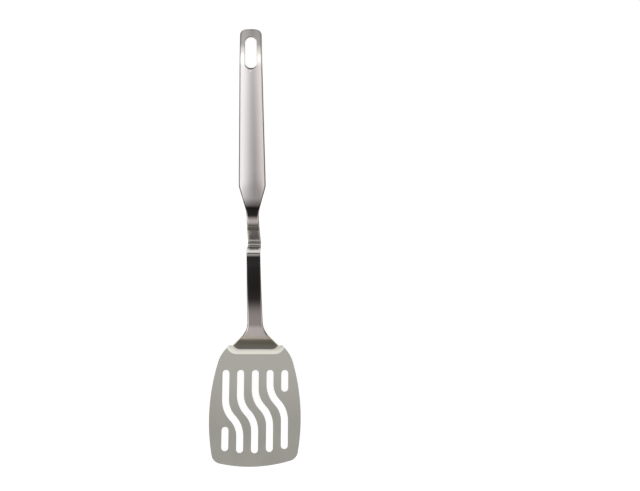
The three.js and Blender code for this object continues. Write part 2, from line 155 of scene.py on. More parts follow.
# Fineness: the largest turn or length of one step, or how many steps there are
ARC_STEP = 4
BEND_STEP = 1.5
LINE_STEP = 5
ROW_GAP = 0.4  # the bar's other rows keep this far from those round the hanging slot's ends
FACE_SPANS = 14
ROLL_STEPS = 5
SIDE_STEP = 1.6
SHOULDER_STEP = 0.8
CORNER_STEP = 0.5
HORN_STEP = 0.3
LIP_ROW = 0.35
LIP_COLUMN = 1.5
EDGE_STEPS = 3
EDGE_LEAST_ANGLE = 50  # the blade's edges that turn by less than this stay as they are
MARK_STEPS = 40
MARK_RING_STEPS = 12
MARK_DOME_STEPS = 16
MERGE_DISTANCE = 0.001  # points closer than this are one point
ROUNDING = 1e-6  # slack for sums of lengths


def sin(degrees):
    return math.sin(math.radians(degrees))


def cos(degrees):
    return math.cos(math.radians(degrees))


def tan(degrees):
    return math.tan(math.radians(degrees))


def lerp(low, high, share):
    return low + (high - low) * share


def clamp(value, low=0.0, high=1.0):
    return max(low, min(high, value))


def arc_steps(turn):
    return max(1, math.ceil(abs(turn) / ARC_STEP))


# Node trees

class Value:
    """A node's output. Arithmetic on it adds the Math nodes that work it out."""

    def __init__(self, graph, socket):
        self.graph = graph
        self.socket = socket

    def maths(self, operation, *terms):
        return self.graph.node("ShaderNodeMath", {"operation": operation}, dict(enumerate(terms))).out()

    def __add__(self, other):
        return self.maths("ADD", self, other)

    def __radd__(self, other):
        return self.maths("ADD", other, self)

    def __sub__(self, other):
        return self.maths("SUBTRACT", self, other)

    def __rsub__(self, other):
        return self.maths("SUBTRACT", other, self)

    def __mul__(self, other):
        return self.maths("MULTIPLY", self, other)

    def __rmul__(self, other):
        return self.maths("MULTIPLY", other, self)

    def __truediv__(self, other):
        return self.maths("DIVIDE", self, other)

    def __rtruediv__(self, other):
        return self.maths("DIVIDE", other, self)

    def __mod__(self, other):
        return self.maths("MODULO", self, other)

    def __pow__(self, other):
        return self.maths("POWER", self, other)

    def __neg__(self):
        return self.maths("MULTIPLY", self, -1.0)

    def __gt__(self, other):
        return self.maths("GREATER_THAN", self, other)

    def __lt__(self, other):
        return self.maths("LESS_THAN", self, other)

    def sin(self):
        return self.maths("SINE", self)

    def cos(self):
        return self.maths("COSINE", self)

    def root(self):
        return self.maths("SQRT", self)

    def absolute(self):
        return self.maths("ABSOLUTE", self)

    def floor(self):
        return self.maths("FLOOR", self)

    def at_least(self, low):
        return self.maths("MAXIMUM", self, low)

    def at_most(self, high):
        return self.maths("MINIMUM", self, high)

    def ramp(self, low, high, to_low=0.0, to_high=1.0):
        """Rises smoothly from one value to another as this goes from low to high."""
        settings = {"interpolation_type": "SMOOTHSTEP"}
        inputs = {0: self, 1: low, 2: high, 3: to_low, 4: to_high}
        return self.graph.node("ShaderNodeMapRange", settings, inputs).out()

    def band(self, start, full, ease, end):
        """Rises to one between the first two values, and falls back to nothing between the last two."""
        return self.ramp(start, full) * self.ramp(ease, end, 1.0, 0.0)


class Made:
    """A node that was added to a graph."""

    def __init__(self, graph, node):
        self.graph = graph
        self.node = node

    def out(self, key=0):
        return Value(self.graph, self.node.outputs[key])


class Graph:
    """A node tree that is written from Python."""

    def __init__(self, tree):
        self.tree = tree

    def node(self, kind, settings=None, inputs=None):
        """Adds a node, sets its settings first, and then gives its sockets their values or links."""
        node = self.tree.nodes.new(kind)
        for name, setting in (settings or {}).items():
            if name == "stops":
                self.set_stops(node.color_ramp, setting)
            else:
                setattr(node, name, setting)
        for key, given in (inputs or {}).items():
            for each in given if isinstance(given, list) else [given]:
                self.join(node.inputs[key], each)
        return Made(self, node)

    def join(self, socket, given):
        if isinstance(given, Value):
            self.tree.links.new(given.socket, socket)
        else:
            socket.default_value = given

    @staticmethod
    def set_stops(ramp, stops):
        while len(ramp.elements) < len(stops):
            ramp.elements.new(1.0)
        for element, (place, colour) in zip(ramp.elements, stops):
            element.position = place
            element.color = colour

    def vector(self, x, y, z=0.0):
        return self.node("ShaderNodeCombineXYZ", inputs={0: x, 1: y, 2: z}).out()

    def noise(self, vector, scale, detail=2.0, roughness=0.5):
        inputs = {"Vector": vector, "Scale": scale, "Detail": detail, "Roughness": roughness}
        return self.node("ShaderNodeTexNoise", inputs=inputs).out(0)

    def patches(self, across, along, per_mm, detail=2.0, roughness=0.5):
        """Noise over a surface, with so many patches to a millimetre across it and along it."""
        place = self.vector(across * per_mm[0], along * per_mm[1])
        return self.noise(place, 1.0, detail, roughness)

    def mix(self, share, first, second, blend="MIX"):
        settings = {"data_type": "RGBA", "blend_type": blend}
        return self.node("ShaderNodeMix", settings, {0: share, 6: first, 7: second}).out(2)


def tree_inputs(tree, kinds):
    for name, kind in kinds.items():
        tree.interface.new_socket(name, in_out="INPUT", socket_type=kind)


def run_tree(piece, tree, values):
    """Runs a geometry tree on a piece and gives back its result as a plain mesh."""
    modifier = piece.modifiers.new(tree.name, "NODES")
    modifier.node_group = tree
    for item in tree.interface.items_tree:
        if item.in_out == "INPUT" and item.name in values:
            modifier[item.identifier] = values[item.name]
    return settle(piece)


def settle(piece):
    """Turns a piece and its modifiers into a plain mesh."""
    shown = piece.evaluated_get(bpy.context.evaluated_depsgraph_get())
    mesh = bpy.data.meshes.new_from_object(shown)
    piece.modifiers.clear()
    old = piece.data
    piece.data = mesh
    bpy.data.meshes.remove(old)
    return mesh


def new_piece(name, mesh):
    mesh.name = name
    piece = bpy.data.objects.new(name, mesh)
    bpy.context.scene.collection.objects.link(piece)
    return piece


# Route and plan of the handle bar

class Route:
    """The bar's middle line, a chain of straight runs and bends in the YZ plane from the handle end."""

    def __init__(self, heading):
        self.runs = []
        self.end = (0.0, 0.0, 0.0, heading)

    def line(self, length):
        return self.add(length, 0.0)

    def bend(self, radius, heading):
        turn = heading - self.end[3]
        return self.add(radius * abs(math.radians(turn)), turn)

    def add(self, length, turn):
        run = (*self.end, length, turn)
        self.runs.append(run)
        self.end = (run[0] + length, *self.point_on(run, length))
        return self

    @staticmethod
    def point_on(run, distance):
        _, y, z, heading, length, turn = run
        if turn == 0:
            return y - distance * cos(heading), z + distance * sin(heading), heading
        radius = length / math.radians(turn)
        now = heading + turn * distance / length
        return y + radius * (sin(heading) - sin(now)), z + radius * (cos(heading) - cos(now)), now

    def at(self, distance):
        run = [each for each in self.runs if each[0] <= distance or each is self.runs[0]][-1]
        return self.point_on(run, distance - run[0])

    def stations(self):
        for start, _, _, _, length, turn in self.runs:
            count = max(math.ceil(abs(turn) / BEND_STEP), math.ceil(length / LINE_STEP))
            for k in range(count + 1):
                yield start + length * k / count


class Flank:
    """One flank of the bar's plan outline: points (along, across, heading) on lines and arcs."""

    def __init__(self, along, across, heading):
        self.points = [(along, across, heading)]

    @property
    def last(self):
        return self.points[-1]

    def line(self, length):
        along, _, heading = self.last
        return self.line_to_along(along + length * cos(heading))

    def line_to_along(self, along):
        start, across, heading = self.last
        self.points.append((along, across + (along - start) * tan(heading), heading))
        return self

    def line_to_across(self, across):
        along, start, heading = self.last
        return self.line_to_along(along + (across - start) / tan(heading))

    def arc_to(self, radius, heading):
        along, across, start = self.last
        signed = math.copysign(radius, heading - start)
        count = arc_steps(heading - start)
        for k in range(1, count + 1):
            now = lerp(start, heading, k / count)
            forward = signed * (sin(now) - sin(start))
            outward = signed * (cos(start) - cos(now))
            self.points.append((along + forward, across + outward, now))
        return self

    def at(self, along):
        for (a, across_a, heading_a), (b, across_b, heading_b) in zip(self.points, self.points[1:]):
            if along <= b:
                share = (along - a) / (b - a)
                return along, lerp(across_a, across_b, share), lerp(heading_a, heading_b, share)
        return self.last


neck_end_angle = -NECK_LEAN - NECK_BOW_ANGLE
sweep_end_angle = neck_end_angle + SWEEP_ANGLE
foot_fold_radius = FOLD_RADIUS + BLADE_THICKNESS + LAP_GAP + FOOT_THICKNESS / 2
drop_start = GRIP_LENGTH + DROP_OFFSET
tip_arc = TIP_BEND_RADIUS * math.radians(TIP_ANGLE)
route = (
    Route(TIP_ANGLE)
    .line(TIP_LENGTH)
    .bend(TIP_BEND_RADIUS, 0)
    .line(drop_start - TIP_LENGTH - tip_arc)
    .bend(DROP_RADIUS, -DROP_ANGLE)
    .line(RAMP_LENGTH)
    .bend(HOOK_INNER_RADIUS + BAR_THICKNESS / 2, STEP_ANGLE)
    .line(STEP_LENGTH)
    .bend(SHOULDER_INNER_RADIUS + BAR_THICKNESS / 2, -NECK_LEAN)
    .line(NECK_TOP_LENGTH)
    .bend(NECK_BOW_RADIUS, neck_end_angle)
    .line(NECK_STRAIGHT)
    .bend(SWEEP_RADIUS, sweep_end_angle)
)
ramp_start, step_start = route.runs[4][0], route.runs[6][0]
step_end, shoulder_end = route.runs[7][0], route.runs[8][0]
fold_start = route.end[0]
route.bend(foot_fold_radius, BLADE_ANGLE)
fold_end, fold_end_y, fold_end_z, _ = route.end

grip_flare = math.degrees(math.atan((GRIP_WIDTH - GRIP_END_WIDTH) / 2 / GRIP_LENGTH))


def bar_flank():
    """Plan outline of the bar, from the handle end to the foot's end."""
    neck_half = NECK_TOP_WIDTH / 2
    low_half = NECK_LOW_WIDTH / 2
    corner = END_CORNER_RADIUS
    corner_start = math.degrees(math.asin((GRIP_END_WIDTH / 2 - corner) / (END_EDGE_RADIUS - corner)))
    flank = (
        Flank(0, 0, 90)
        .arc_to(END_EDGE_RADIUS, 90 - corner_start)
        .arc_to(corner, grip_flare)
        .line_to_along(GRIP_LENGTH)
        .arc_to(NARROWING_ROUND, -NARROWING_ANGLE)
    )
    flare_start = fold_start - FLARE_LENGTH
    neck_flare = math.degrees(math.atan((low_half - neck_half) / (flare_start - flank.last[0])))
    flank.line_to_across(neck_half + NECK_FILLET * (cos(neck_flare) - cos(NARROWING_ANGLE)))
    flank.arc_to(NECK_FILLET, neck_flare)
    flank.line_to_along(flare_start).arc_to(FLARE_RADIUS, FLARE_ANGLE).line_to_across(FLARE_WIDTH / 2)
    flank.arc_to(FOOT_CORNER_RADIUS, 0).line(FOOT_SIDE).arc_to(FOOT_CORNER_RADIUS, -FOOT_CORNER_ANGLE)
    return flank.arc_to(flank.last[1] / cos(FOOT_CORNER_ANGLE), -90)


flank = bar_flank()
foot_end = flank.last[0]
route.line(foot_end - fold_end)

# From the bar's own frame, with the handle end's middle at its origin, to the table
rest = Matrix.Translation(Vector(REST_PLACE)) @ Matrix.Rotation(-math.radians(REST_TILT), 4, "X")
to_metres = Matrix.Scale(MM, 4)
lap = FOOT_THICKNESS / 2 + LAP_GAP + BLADE_THICKNESS / 2
head_place = Vector((0, fold_end_y + lap * sin(BLADE_ANGLE), fold_end_z + lap * cos(BLADE_ANGLE)))
head = Matrix.Translation(head_place) @ Matrix.Rotation(-math.radians(BLADE_ANGLE), 4, "X")


# Handle bar

def bar_thickness(along):
    thinning_end = fold_start - FOOT_FLAT
    return lerp(FOOT_THICKNESS, BAR_THICKNESS, clamp((thinning_end - along) / THINNING_LENGTH))


def bar_crown(along, across):
    """Height of the bulged grip face above its edges."""
    bulging = clamp((drop_start + CROWN_OVERLAP - along) / CROWN_RUNOUT)
    half = lerp(GRIP_END_WIDTH, GRIP_WIDTH, min(1, along / GRIP_LENGTH)) / 2
    return GRIP_CROWN * bulging * (1 - (across / half) ** 2)


def bar_front(along, across):
    return bar_thickness(along) / 2 + bar_crown(along, across)


def bar_back(along, across):
    return -bar_thickness(along) / 2


slot_first = HANG_SLOT_MARGIN + HANG_SLOT_WIDTH / 2
slot_last = HANG_SLOT_MARGIN + HANG_SLOT_LENGTH - HANG_SLOT_WIDTH / 2
slot_outer = HANG_SLOT_WIDTH / 2 + HANG_SLOT_RIM


def hang_slot_half(along):
    """Half width of the hanging slot with its rounded rim, or nothing outside it."""
    beyond = max(slot_first - along, along - slot_last, 0)
    return math.sqrt(max(0.0, slot_outer ** 2 - beyond ** 2))


def hang_slot_inward(along, across):
    """Direction from the slot's rim towards the inside of the slot."""
    centre = clamp(along, slot_first, slot_last)
    return (centre - along) / slot_outer, -across / slot_outer


def hang_slot_draft(along, across, height):
    """How far a point near the slot's low end lies back towards the handle end."""
    front, back = bar_front(along, across), bar_back(along, across)
    near = clamp((along - slot_last) / slot_outer) * clamp((slot_last + 2 * slot_outer - along) / slot_outer)
    return HANG_SLOT_DRAFT * near * clamp((front - height) / (front - back))


def bar_rows():
    """Rows of the bar's right half: flat part of each row, edge radius and the outline's heading."""
    edge = BAR_EDGE_RADIUS * sin(grip_flare)
    count = arc_steps(90) // 2
    rim = [slot_outer * cos(90 * k / count) for k in range(count + 1)]
    rim_stations = [slot_first - each - edge for each in rim] + [slot_last + each - edge for each in rim]
    stations = sorted({round(each, 3) for each in route.stations()})
    clear = [each for each in stations if min(abs(each - other) for other in rim_stations) > ROW_GAP]
    lines = [flank.at(each) for each in clear + rim_stations if 0 < each < foot_end]
    rows = []
    for along, across, heading in sorted(lines + flank.points):
        radius = min(BAR_EDGE_RADIUS, EDGE_SHARE * bar_thickness(along))
        rows.append((along + radius * sin(heading), across - radius * cos(heading), radius, heading))
    return rows


class BarMesh:
    """Collects grids of the bar's points, given as along, across and height."""

    def __init__(self):
        self.mesh = bmesh.new()
        self.runs = self.mesh.verts.layers.float_vector.new("run")
        self.fronts = self.mesh.verts.layers.float.new("front_side")

    def point(self, along, across, height):
        y, z, heading = route.at(along - hang_slot_draft(along, across, height))
        vert = self.mesh.verts.new((across, y + height * sin(heading), z + height * cos(heading)))
        vert[self.runs] = (across, along, height)
        vert[self.fronts] = 1.0 if height > 0 else 0.0
        return vert

    def grid(self, lines, closed=False):
        """Joins lines of points, each line to the next, and in a closed grid also their ends."""
        lines = [[self.point(*place) for place in line] for line in lines]
        for line, after in zip(lines, lines[1:]):
            pairs = list(zip(line, after))
            ring = pairs[1:] + pairs[:1] if closed else pairs[1:]
            for (a, b), (c, d) in zip(pairs, ring):
                self.mesh.faces.new((a, c, d, b))

    def rolled_edge(self, loop):
        """The round edge along a loop of (along, across, outward along, outward across, radius)."""
        lines = []
        for surface, sign in ((bar_front, -1), (bar_back, 1)):
            for k in range(ROLL_STEPS + 1)[::-sign]:
                turn = 90 * k / ROLL_STEPS
                line = []
                for along, across, out_along, out_across, radius in loop:
                    now = along + radius * sin(turn) * out_along
                    side = across + radius * sin(turn) * out_across
                    line.append((now, side, surface(now, side) + sign * radius * (1 - cos(turn))))
                lines.append(line)
        self.grid(lines, closed=True)

    def finish(self, name):
        bmesh.ops.remove_doubles(self.mesh, verts=self.mesh.verts, dist=MERGE_DISTANCE)
        bmesh.ops.dissolve_degenerate(self.mesh, edges=self.mesh.edges, dist=MERGE_DISTANCE)
        bmesh.ops.recalc_face_normals(self.mesh, faces=self.mesh.faces)
        uv = self.mesh.loops.layers.uv.new("bar_run")
        for face in self.mesh.faces:
            face.smooth = True
            for corner in face.loops:
                across, along, _ = corner.vert[self.runs]
                corner[uv].uv = (across * UV_MM, along * UV_MM)
        self.mesh.verts.layers.float_vector.remove(self.runs)
        self.mesh.transform(to_metres @ rest)
        mesh = bpy.data.meshes.new(name)
        self.mesh.to_mesh(mesh)
        self.mesh.free()
        return mesh


def mirrored(side):
    """A closed loop from the points of its right side, whose first and last point lie on the middle line."""
    left = [(along, -across, out_along, -out_across, radius)
            for along, across, out_along, out_across, radius in reversed(side[1:-1])]
    return side + left


def forged_bar(finish):
    rows = bar_rows()
    bar = BarMesh()
    for surface in (bar_front, bar_back):
        for sign in (1, -1):
            lines = []
            for along, outer, _, _ in rows:
                inner = hang_slot_half(along)
                across = [sign * lerp(inner, outer, k / FACE_SPANS) for k in range(FACE_SPANS + 1)]
                lines.append([(along, each, surface(along, each)) for each in across])
            bar.grid(lines)
    bar.rolled_edge(mirrored([(along, outer, -sin(heading), cos(heading), radius)
                              for along, outer, radius, heading in rows]))
    slot_top = slot_first - slot_outer - ROUNDING
    slot_low = slot_last + slot_outer + ROUNDING
    slot_side = [(along, hang_slot_half(along)) for along, *_ in rows if slot_top <= along <= slot_low]
    bar.rolled_edge(mirrored([(along, half, *hang_slot_inward(along, half), HANG_SLOT_RIM)
                              for along, half in slot_side]))
    mesh = bar.finish("forged_bar")
    mesh.materials.append(finish)
    return new_piece("forged_bar", mesh)


# Blade

side_centre = (BLADE_WIDTH / 2 - SIDE_RADIUS, -BLADE_WIDEST)
side_turn = math.degrees(math.asin((BLADE_WIDEST - SHOULDER_START) / SIDE_RADIUS))
shoulder_centre = (
    side_centre[0] + (SIDE_RADIUS - SHOULDER_RADIUS) * cos(side_turn),
    side_centre[1] + (SIDE_RADIUS - SHOULDER_RADIUS) * sin(side_turn),
)
front_centre_y = FRONT_EDGE_RADIUS - BLADE_LENGTH


def shoulder_half(y):
    return shoulder_centre[0] + math.sqrt(SHOULDER_RADIUS ** 2 - (y - shoulder_centre[1]) ** 2)


def corner_centre(side):
    """Centre of the corner arc on one side, inside both the side's arc and the front edge's arc."""
    ax, ay = side * side_centre[0], side_centre[1]
    dx, dy = FRONT_EDGE_SHIFT - ax, front_centre_y - ay
    from_side = SIDE_RADIUS - BLADE_CORNER_RADIUS
    from_front = FRONT_EDGE_RADIUS - BLADE_CORNER_RADIUS
    apart = math.hypot(dx, dy)
    along = (from_side ** 2 - from_front ** 2 + apart ** 2) / (2 * apart)
    off = -side * math.sqrt(from_side ** 2 - along ** 2)
    return ax + (dx * along - dy * off) / apart, ay + (dy * along + dx * off) / apart


def arc(centre, radius, start, end, step):
    """Points on an arc from one angle to another, without its last point."""
    count = max(2, math.ceil(radius * abs(math.radians(end - start)) / step))
    angles = [lerp(start, end, k / count) for k in range(count)]
    return [(centre[0] + radius * cos(each), centre[1] + radius * sin(each)) for each in angles]


def blade_outline():
    """Outline of the blade's sheet before its lip is turned up, anticlockwise from the left horn."""
    def angle(start, end):
        return math.degrees(math.atan2(end[1] - start[1], end[0] - start[0]))

    left, right = corner_centre(-1), corner_centre(1)
    front = (FRONT_EDGE_SHIFT, front_centre_y)
    left_side = (-side_centre[0], side_centre[1])
    left_shoulder = (-shoulder_centre[0], shoulder_centre[1])
    corner = LIP_CORNER_RADIUS
    side_end = LIP_HORN_HEIGHT - corner
    half = shoulder_half(side_end)
    top = angle(shoulder_centre, (half, side_end))
    right_low = angle(side_centre, right)
    left_low = angle(left_side, left) % 360
    front_left = angle(front, left) % 360
    front_right = angle(front, right) % 360
    points = arc(left_shoulder, SHOULDER_RADIUS, 180 - top, 180 - side_turn, SHOULDER_STEP)
    points += arc(left_side, SIDE_RADIUS, 180 - side_turn, left_low, SIDE_STEP)
    points += arc(left, BLADE_CORNER_RADIUS, left_low, front_left, CORNER_STEP)
    points += arc(front, FRONT_EDGE_RADIUS, front_left, front_right, SIDE_STEP)
    points += arc(right, BLADE_CORNER_RADIUS, front_right - 360, right_low, CORNER_STEP)
    points += arc(side_centre, SIDE_RADIUS, right_low, side_turn, SIDE_STEP)
    points += arc(shoulder_centre, SHOULDER_RADIUS, side_turn, top, SHOULDER_STEP)
    points += arc((half - corner, side_end), corner, 0, 90, HORN_STEP)
    points.append((half - corner, LIP_HORN_HEIGHT))
    cup_turn = math.degrees(math.acos(1 - (LIP_HORN_HEIGHT - LIP_HEIGHT) / LIP_CUP_RADIUS))
    middle = shoulder_half(LIP_HORN_HEIGHT) - LIP_HORN_WIDTH - LIP_CUP_RADIUS * sin(cup_turn)
    cup_y = LIP_HEIGHT + LIP_CUP_RADIUS
    points += arc((middle, cup_y), LIP_CUP_RADIUS, cup_turn - 90, -90, CORNER_STEP)
    count = math.ceil(2 * middle / LIP_COLUMN)
    points += [(lerp(middle, -middle, k / count), LIP_HEIGHT) for k in range(count)]
    points += arc((-middle, cup_y), LIP_CUP_RADIUS, -90, -90 - cup_turn, CORNER_STEP)
    points.append((-middle - LIP_CUP_RADIUS * sin(cup_turn), LIP_HORN_HEIGHT))
    return points + arc((corner - half, side_end), corner, 90, 180, HORN_STEP)


def drain_slot_tree():
    """Cuts the drain slots into a flat sheet: each is a rounded slot that moves over by one column."""
    tree = bpy.data.node_groups.new("drain_slots", "GeometryNodeTree")
    tree_inputs(tree, {"Outline": "NodeSocketGeometry"})
    tree_inputs(tree, {name: "NodeSocketFloat" for name in SLOT_SIZES})
    tree_inputs(tree, {"Finish": "NodeSocketMaterial"})
    tree.interface.new_socket("Sheet", in_out="OUTPUT", socket_type="NodeSocketGeometry")
    graph = Graph(tree)
    given = graph.node("NodeGroupInput")
    pitch = given.out("Pitch")
    half = given.out("Width") / 2
    top = given.out("Top")
    bend = given.out("Bend angle")

    # Which slot a point belongs to, and its place round that slot: top cap, left side, low cap, right side
    points = 2 * (SLOT_CAP_STEPS + SLOT_SIDE_STEPS)
    index = graph.node("GeometryNodeInputIndex").out()
    slot = (index / points).floor() - 1
    place = index % points
    starts = (0, SLOT_CAP_STEPS, SLOT_CAP_STEPS + SLOT_SIDE_STEPS, 2 * SLOT_CAP_STEPS + SLOT_SIDE_STEPS)
    steps = (SLOT_CAP_STEPS, SLOT_SIDE_STEPS, SLOT_CAP_STEPS, SLOT_SIDE_STEPS)
    top_cap, left, low_cap, right = (
        ((place - start) / count).at_least(0).at_most(1) for start, count in zip(starts, steps)
    )
    turn = (top_cap + low_cap) * math.pi
    across = half * turn.cos()
    beyond = half * turn.sin()

    # The two short slots, first and last, are straight
    is_first = slot < -0.5
    is_last = slot > SLOT_COLUMNS - 1.5
    middle = (SLOT_COLUMNS - 1) / 2
    x_top = (slot.at_least(0) - middle) * pitch
    x_low = ((slot + 1).at_most(SLOT_COLUMNS - 1) - middle) * pitch
    front = given.out("Front radius")
    reach = (front * front - (x_low - given.out("Front shift")) ** 2).root()
    low = front - given.out("Blade length") - reach + given.out("Low margin")
    y_top = -top - half + is_first * (low + given.out("Short low length") + top)
    y_low = low + half - is_last * (low + top + given.out("Short top length"))

    # The slot's middle line: straight, a bend, the opposite bend, straight
    slot_bend = bend * (1 - is_first - is_last)
    radius = pitch / (2 - 2 * bend.cos())
    bend_y = (slot - (middle - 0.5)) * given.out("Bend stagger") - given.out("Bend middle")
    bend_start = y_top - bend_y - radius * bend.sin()
    bend_run = radius * slot_bend
    run = (left - right) * (y_top - y_low + 2 * (bend_run - radius * slot_bend.sin()))
    first = ((run - bend_start) / radius).at_least(0).at_most(slot_bend)
    second = ((run - bend_start - bend_run) / radius).at_least(0).at_most(slot_bend)
    rest_bend = slot_bend - second
    aside = radius * (1 - first.cos() + rest_bend.cos() - slot_bend.cos())
    bent = radius * (first.sin() + slot_bend.sin() - rest_bend.sin())
    down = run.at_most(bend_start) + bent + (run - bend_start - 2 * bend_run).at_least(0)
    heading = first - second
    x = x_top + aside + across * heading.cos()
    y = y_top - down + across * heading.sin() + beyond

    ring = graph.node("GeometryNodeCurvePrimitiveCircle", {"mode": "RADIUS"}, {"Resolution": points})
    spots = graph.node("GeometryNodePoints", inputs={"Count": SLOT_COLUMNS + 1})
    rings = graph.node("GeometryNodeInstanceOnPoints", inputs={"Points": spots.out(), "Instance": ring.out()})
    loose = graph.node("GeometryNodeRealizeInstances", inputs={0: rings.out()})
    places = {"Geometry": loose.out(), "Position": graph.vector(x, y)}
    slots = graph.node("GeometryNodeSetPosition", inputs=places)
    edge = graph.node("GeometryNodeMeshToCurve", inputs={"Mesh": given.out("Outline")})
    edges = graph.node("GeometryNodeJoinGeometry", inputs={0: [edge.out(), slots.out()]})
    sheet = graph.node("GeometryNodeFillCurve", {"mode": "NGONS"}, {"Curve": edges.out()})
    real = graph.node("GeometryNodeRealizeInstances", inputs={0: sheet.out()})
    dressed = graph.node("GeometryNodeSetMaterial", inputs={0: real.out(), "Material": given.out("Finish")})
    graph.node("NodeGroupOutput", inputs={0: dressed.out()})
    return tree


fold_angle = BLADE_ANGLE - sweep_end_angle
lip_radius = FOLD_RADIUS + BLADE_THICKNESS / 2
fold_length = lip_radius * math.radians(fold_angle)


def fold_line(x):
    """How far up the sheet its fold starts."""
    beyond = clamp(abs(x) - FOLD_LINE_HALF, 0, FOLD_LINE_RADIUS)
    return FOLD_LINE_RADIUS - math.sqrt(FOLD_LINE_RADIUS ** 2 - beyond ** 2)


def turned_up(x, y):
    """Place of a point of the flat sheet after the lip is turned up round its fold."""
    start = min(y, fold_line(x))
    bent = clamp(y - start, 0, fold_length)
    turn = math.degrees(bent / lip_radius)
    beyond = y - start - bent
    forward = lip_radius * sin(turn) + beyond * cos(turn)
    return x, start + forward, lip_radius * (1 - cos(turn)) + beyond * sin(turn)


def cut_lip(sheet, place, normal):
    """Cuts the faces of the lip along a plane, or the whole sheet where the lip has none of its own yet."""
    faces = [face for face in sheet.faces if min(vert.co.y for vert in face.verts) > -MERGE_DISTANCE]
    faces = faces or sheet.faces[:]
    edges = {edge for face in faces for edge in face.edges}
    verts = {vert for face in faces for vert in face.verts}
    cut = {"plane_co": place, "plane_no": normal}
    bmesh.ops.bisect_plane(sheet, geom=[*verts, *edges, *faces], **cut)


def pressed_blade(finish):
    outline = blade_outline()
    edges = [(k, (k + 1) % len(outline)) for k in range(len(outline))]
    mesh = bpy.data.meshes.new("pressed_blade")
    mesh.from_pydata([(x, y, 0) for x, y in outline], edges, [])
    piece = new_piece("pressed_blade", mesh)
    flat = run_tree(piece, drain_slot_tree(), {**SLOT_SIZES, "Finish": finish})

    sheet = bmesh.new()
    sheet.from_mesh(flat)
    bmesh.ops.remove_doubles(sheet, verts=sheet.verts, dist=MERGE_DISTANCE)
    rows = math.ceil(LIP_HORN_HEIGHT / LIP_ROW)
    for k in range(rows):
        cut_lip(sheet, (0, LIP_HORN_HEIGHT * k / rows, 0), (0, 1, 0))
    columns = math.ceil(shoulder_half(0) / LIP_COLUMN)
    for k in range(-columns, columns + 1):
        cut_lip(sheet, (k * LIP_COLUMN, 0, 0), (1, 0, 0))
    bmesh.ops.recalc_face_normals(sheet, faces=sheet.faces)
    if sum(face.normal.z * face.calc_area() for face in sheet.faces) < 0:
        bmesh.ops.reverse_faces(sheet, faces=sheet.faces)
    uv = sheet.loops.layers.uv.new("blade_run")
    for face in sheet.faces:
        face.smooth = True
        for corner in face.loops:
            corner[uv].uv = (corner.vert.co.x * UV_MM, corner.vert.co.y * UV_MM)
    for vert in sheet.verts:
        vert.co = turned_up(vert.co.x, vert.co.y)
    sheet.transform(to_metres @ rest @ head)
    sheet.to_mesh(flat)
    sheet.free()

    wall = piece.modifiers.new("sheet", "SOLIDIFY")
    wall.thickness = BLADE_THICKNESS * MM
    wall.offset = 0
    wall.use_even_offset = True
    edge = piece.modifiers.new("edge", "BEVEL")
    edge.width = BLADE_EDGE_RADIUS * MM
    edge.segments = EDGE_STEPS
    edge.limit_method = "ANGLE"
    edge.angle_limit = math.radians(EDGE_LEAST_ANGLE)
    edge.harden_normals = True
    settle(piece)
    return piece


# Weld marks on the back of the foot

def weld_mark_tree():
    """A row of round weld marks, each a low ring round a shallow dome."""
    tree = bpy.data.node_groups.new("weld_marks", "GeometryNodeTree")
    tree_inputs(tree, {"Start": "NodeSocketGeometry"})
    tree_inputs(tree, {name: "NodeSocketFloat" for name in WELD_MARK_SIZES})
    tree_inputs(tree, {"Finish": "NodeSocketMaterial"})
    tree.interface.new_socket("Marks", in_out="OUTPUT", socket_type="NodeSocketGeometry")
    graph = Graph(tree)
    given = graph.node("NodeGroupInput")
    pitch = given.out("Pitch")
    radius = given.out("Ring radius")
    thickness = given.out("Ring thickness")
    share = given.out("Height share")

    circle = "GeometryNodeCurvePrimitiveCircle"
    path = graph.node(circle, inputs={"Resolution": MARK_STEPS, "Radius": radius})
    section = graph.node(circle, inputs={"Resolution": MARK_RING_STEPS, "Radius": thickness / 2})
    ring = graph.node("GeometryNodeCurveToMesh", inputs={0: path.out(), 1: section.out()})
    ball = {"Segments": MARK_STEPS, "Rings": MARK_DOME_STEPS, "Radius": radius}
    dome = graph.node("GeometryNodeMeshUVSphere", inputs=ball)
    dome_size = graph.vector(1.0, 1.0, thickness / radius * given.out("Dome share"))
    low_dome = graph.node("GeometryNodeTransform", inputs={"Geometry": dome.out(), "Scale": dome_size})
    both = graph.node("GeometryNodeJoinGeometry", inputs={0: [ring.out(), low_dome.out()]})
    mark_size = graph.vector(1.0, 1.0, share)
    mark = graph.node("GeometryNodeTransform", inputs={"Geometry": both.out(), "Scale": mark_size})
    offset = graph.vector(pitch, 0.0)
    start = graph.vector(pitch * (-(WELD_MARK_COUNT - 1) / 2), 0.0)
    row = {"Count": WELD_MARK_COUNT, "Start Location": start, "Offset": offset}
    line = graph.node("GeometryNodeMeshLine", inputs=row)
    marks = graph.node("GeometryNodeInstanceOnPoints", inputs={"Points": line.out(), "Instance": mark.out()})
    real = graph.node("GeometryNodeRealizeInstances", inputs={0: marks.out()})
    dressed = graph.node("GeometryNodeSetMaterial", inputs={0: real.out(), "Material": given.out("Finish")})
    graph.node("NodeGroupOutput", inputs={0: dressed.out()})
    return tree


def weld_marks(finish):
    piece = new_piece("weld_marks", bpy.data.meshes.new("weld_marks"))
    mesh = run_tree(piece, weld_mark_tree(), {**WELD_MARK_SIZES, "Finish": finish})
    back = BLADE_THICKNESS / 2 + LAP_GAP + FOOT_THICKNESS
    spot = Matrix.Translation(Vector((0, fold_end + WELD_MARGIN - foot_end, -back)))
    mesh.transform(to_metres @ rest @ head @ spot)
    mesh.shade_smooth()
    return piece


# Finishes

